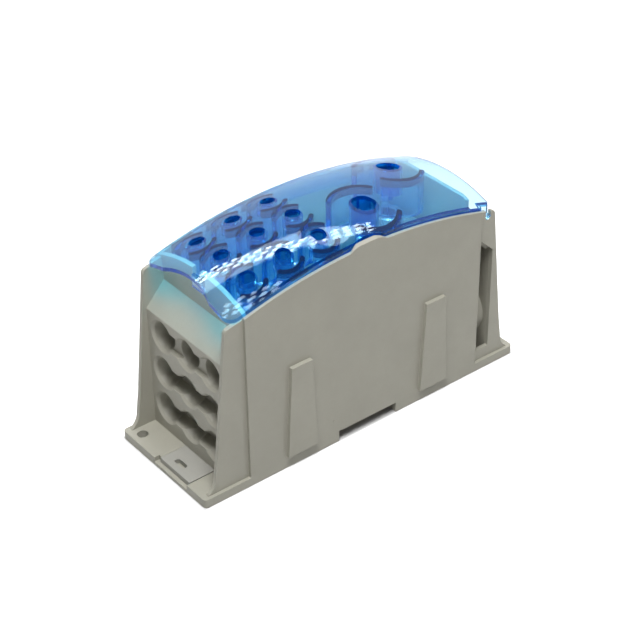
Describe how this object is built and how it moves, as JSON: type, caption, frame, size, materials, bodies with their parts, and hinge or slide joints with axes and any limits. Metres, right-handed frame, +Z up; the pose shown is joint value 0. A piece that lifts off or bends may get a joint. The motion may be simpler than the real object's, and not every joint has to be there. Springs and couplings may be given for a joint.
{
  "type": "power distribution block",
  "caption": "Power distribution block: moulded housing with outlet funnels, stepped terminal bar, set screws, hinged clear crowned cover and a rail latch.",
  "frame": {"origin": "middle of the flange's underside, on the housing's middle plane", "axes": "+X along the length towards the inlet and hinge end, +Y across the width away from the side with the raised keys, +Z up from the mounting plate"},
  "size_m": [0.192, 0.0696, 0.111],
  "materials": {
    "housing": "fine matt moulded grey",
    "cover": "clear blue, polished",
    "terminal_metal": "tin plated, satin",
    "latch": "fine matt moulded grey",
    "screw_steel": "zinc plated"
  },
  "bodies": {
    "block": {"housing": "housing", "terminal_bar": "terminal_metal", "bar_screw_1": "screw_steel", "bar_screw_2": "screw_steel"},
    "lid": {"cover": "cover"},
    "outlet_set_1": {"outlet_screw_1": "screw_steel"},
    "outlet_set_2": {"outlet_screw_2": "screw_steel"},
    "outlet_set_3": {"outlet_screw_3": "screw_steel"},
    "outlet_set_4": {"outlet_screw_4": "screw_steel"},
    "outlet_set_5": {"outlet_screw_5": "screw_steel"},
    "outlet_set_6": {"outlet_screw_6": "screw_steel"},
    "outlet_set_7": {"outlet_screw_7": "screw_steel"},
    "outlet_set_8": {"outlet_screw_8": "screw_steel"},
    "outlet_set_9": {"outlet_screw_9": "screw_steel"},
    "inlet_set_1": {"inlet_screw_1": "screw_steel"},
    "inlet_set_2": {"inlet_screw_2": "screw_steel"},
    "latch": {"rail_latch": "latch"}
  },
  "joints": [
    {"name": "cover_hinge", "type": "hinge", "parent": "block", "child": "lid", "pos_m": [0.0754, 0, 0.0878], "axis": [0, 1, 0], "range_deg": [0, 110]},
    {"name": "outlet_clamp_1", "type": "slide", "parent": "block", "child": "outlet_set_1", "axis": [0, 0, 1], "range_m": [-0.006, 0]},
    {"name": "outlet_clamp_2", "type": "slide", "parent": "block", "child": "outlet_set_2", "axis": [0, 0, 1], "range_m": [-0.006, 0]},
    {"name": "outlet_clamp_3", "type": "slide", "parent": "block", "child": "outlet_set_3", "axis": [0, 0, 1], "range_m": [-0.006, 0]},
    {"name": "outlet_clamp_4", "type": "slide", "parent": "block", "child": "outlet_set_4", "axis": [0, 0, 1], "range_m": [-0.006, 0]},
    {"name": "outlet_clamp_5", "type": "slide", "parent": "block", "child": "outlet_set_5", "axis": [0, 0, 1], "range_m": [-0.006, 0]},
    {"name": "outlet_clamp_6", "type": "slide", "parent": "block", "child": "outlet_set_6", "axis": [0, 0, 1], "range_m": [-0.006, 0]},
    {"name": "outlet_clamp_7", "type": "slide", "parent": "block", "child": "outlet_set_7", "axis": [0, 0, 1], "range_m": [-0.006, 0]},
    {"name": "outlet_clamp_8", "type": "slide", "parent": "block", "child": "outlet_set_8", "axis": [0, 0, 1], "range_m": [-0.006, 0]},
    {"name": "outlet_clamp_9", "type": "slide", "parent": "block", "child": "outlet_set_9", "axis": [0, 0, 1], "range_m": [-0.006, 0]},
    {"name": "inlet_clamp_1", "type": "slide", "parent": "block", "child": "inlet_set_1", "axis": [0, 0, 1], "range_m": [-0.01, 0]},
    {"name": "inlet_clamp_2", "type": "slide", "parent": "block", "child": "inlet_set_2", "axis": [0, 0, 1], "range_m": [-0.01, 0]},
    {"name": "latch_slide", "type": "slide", "parent": "block", "child": "latch", "axis": [-1, 0, 0], "range_m": [0, 0.004], "stiffness_N_per_m": 2000, "springref_m": -0.001}
  ]
}
